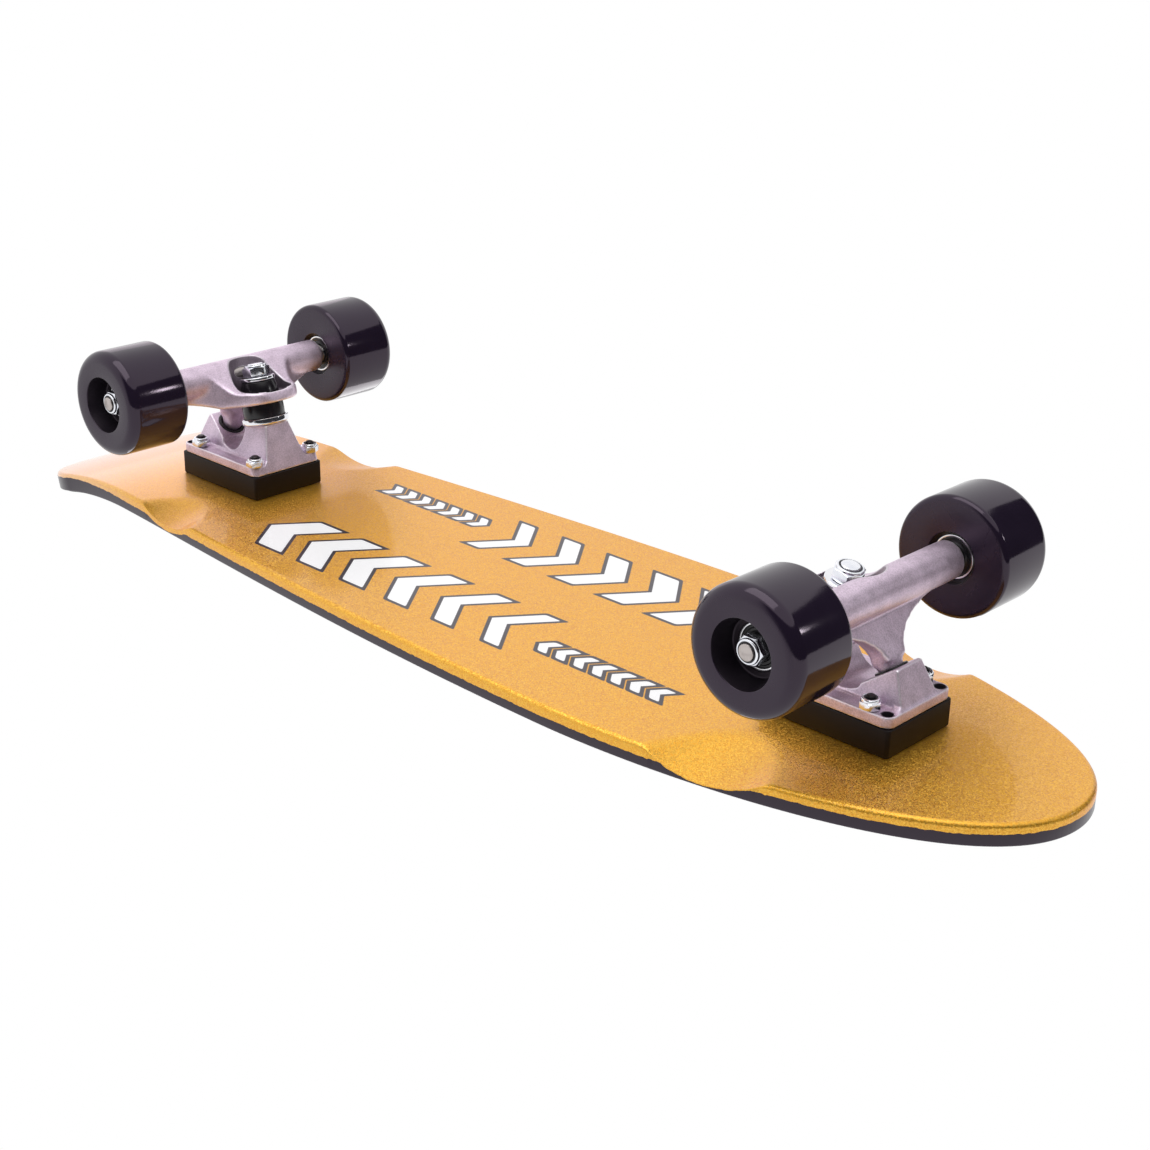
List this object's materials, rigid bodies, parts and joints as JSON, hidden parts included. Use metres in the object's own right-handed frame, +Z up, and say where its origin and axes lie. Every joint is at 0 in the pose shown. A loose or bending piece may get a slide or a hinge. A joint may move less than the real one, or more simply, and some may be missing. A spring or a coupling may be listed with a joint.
{
  "type": "cruiser skateboard",
  "caption": "Kicktail cruiser board: a gold underside, black grip on top, riser pads and cast trucks that lean to steer on urethane bushings, and large black wheels on bearings.",
  "frame": {"origin": "on the ground under the middle of the bounding box, with the board standing on its wheels", "axes": "+X to the nose, +Y to the left, +Z up; the picture shows the board upside down"},
  "size_m": [0.7342, 0.1948, 0.131],
  "materials": {
    "deck_gold": "gold metal-flake paint under a clear coat, black topside edge",
    "grip_black": "coarse black grit",
    "riser_black": "satin black",
    "cast_aluminium": "tumbled casting, satin",
    "cup_black": "matt black urethane",
    "bushing_black": "satin black urethane",
    "wheel_black": "glossy black urethane",
    "washer_chrome": "polished",
    "nut_zinc": "bright zinc plate",
    "bolt_black": "black oxide",
    "axle_steel": "ground steel",
    "bearing_steel": "bright ring with a dark shield"
  },
  "bodies": {
    "board": {"deck": "deck_gold", "front_baseplate": "cast_aluminium", "front_kingpin": "bolt_black", "front_kingpin_nut": "nut_zinc", "front_lower_bushing": "bushing_black", "front_lower_washer": "washer_chrome", "front_mounting_bolt_1": "bolt_black", "front_mounting_bolt_2": "bolt_black", "front_mounting_bolt_3": "bolt_black", "front_mounting_bolt_4": "bolt_black", "front_mounting_nut_1": "nut_zinc", "front_mounting_nut_2": "nut_zinc", "front_mounting_nut_3": "nut_zinc", "front_mounting_nut_4": "nut_zinc", "front_pivot_cup": "cup_black", "front_riser": "riser_black", "front_top_bushing": "bushing_black", "front_top_washer": "washer_chrome", "grip_tape": "grip_black", "rear_baseplate": "cast_aluminium", "rear_kingpin": "bolt_black", "rear_kingpin_nut": "nut_zinc", "rear_lower_bushing": "bushing_black", "rear_lower_washer": "washer_chrome", "rear_mounting_bolt_1": "bolt_black", "rear_mounting_bolt_2": "bolt_black", "rear_mounting_bolt_3": "bolt_black", "rear_mounting_bolt_4": "bolt_black", "rear_mounting_nut_1": "nut_zinc", "rear_mounting_nut_2": "nut_zinc", "rear_mounting_nut_3": "nut_zinc", "rear_mounting_nut_4": "nut_zinc", "rear_pivot_cup": "cup_black", "rear_riser": "riser_black", "rear_top_bushing": "bushing_black", "rear_top_washer": "washer_chrome"},
    "front_hanger_group": {"front_axle": "axle_steel", "front_hanger": "cast_aluminium", "front_left_axle_nut": "nut_zinc", "front_left_speed_washer": "washer_chrome", "front_right_axle_nut": "nut_zinc", "front_right_speed_washer": "washer_chrome"},
    "rear_hanger_group": {"rear_axle": "axle_steel", "rear_hanger": "cast_aluminium", "rear_left_axle_nut": "nut_zinc", "rear_left_speed_washer": "washer_chrome", "rear_right_axle_nut": "nut_zinc", "rear_right_speed_washer": "washer_chrome"},
    "front_left_wheel_group": {"front_left_inner_bearing": "bearing_steel", "front_left_outer_bearing": "bearing_steel", "front_left_wheel": "wheel_black"},
    "front_right_wheel_group": {"front_right_inner_bearing": "bearing_steel", "front_right_outer_bearing": "bearing_steel", "front_right_wheel": "wheel_black"},
    "rear_left_wheel_group": {"rear_left_inner_bearing": "bearing_steel", "rear_left_outer_bearing": "bearing_steel", "rear_left_wheel": "wheel_black"},
    "rear_right_wheel_group": {"rear_right_inner_bearing": "bearing_steel", "rear_right_outer_bearing": "bearing_steel", "rear_right_wheel": "wheel_black"}
  },
  "joints": [
    {"name": "front_steer", "type": "hinge", "parent": "board", "child": "front_hanger_group", "pos_m": [0.26716, 0, 0.0681], "axis": [-0.7831, 0, -0.6219], "range_deg": [-12, 12], "stiffness_Nm_per_rad": 40, "deforming": ["front_lower_bushing", "front_top_bushing"]},
    {"name": "front_left_wheel_spin", "type": "hinge", "parent": "front_hanger_group", "child": "front_left_wheel_group", "pos_m": [0.25403, 0.07813, 0.03074], "axis": [0, 1, 0], "continuous": true},
    {"name": "front_right_wheel_spin", "type": "hinge", "parent": "front_hanger_group", "child": "front_right_wheel_group", "pos_m": [0.25403, -0.07813, 0.03074], "axis": [0, 1, 0], "continuous": true},
    {"name": "rear_steer", "type": "hinge", "parent": "board", "child": "rear_hanger_group", "pos_m": [-0.23211, 0, 0.0681], "axis": [0.7831, 0, -0.6219], "range_deg": [-12, 12], "stiffness_Nm_per_rad": 40, "deforming": ["rear_lower_bushing", "rear_top_bushing"]},
    {"name": "rear_left_wheel_spin", "type": "hinge", "parent": "rear_hanger_group", "child": "rear_left_wheel_group", "pos_m": [-0.21897, 0.07813, 0.03074], "axis": [0, 1, 0], "continuous": true},
    {"name": "rear_right_wheel_spin", "type": "hinge", "parent": "rear_hanger_group", "child": "rear_right_wheel_group", "pos_m": [-0.21897, -0.07813, 0.03074], "axis": [0, 1, 0], "continuous": true}
  ]
}
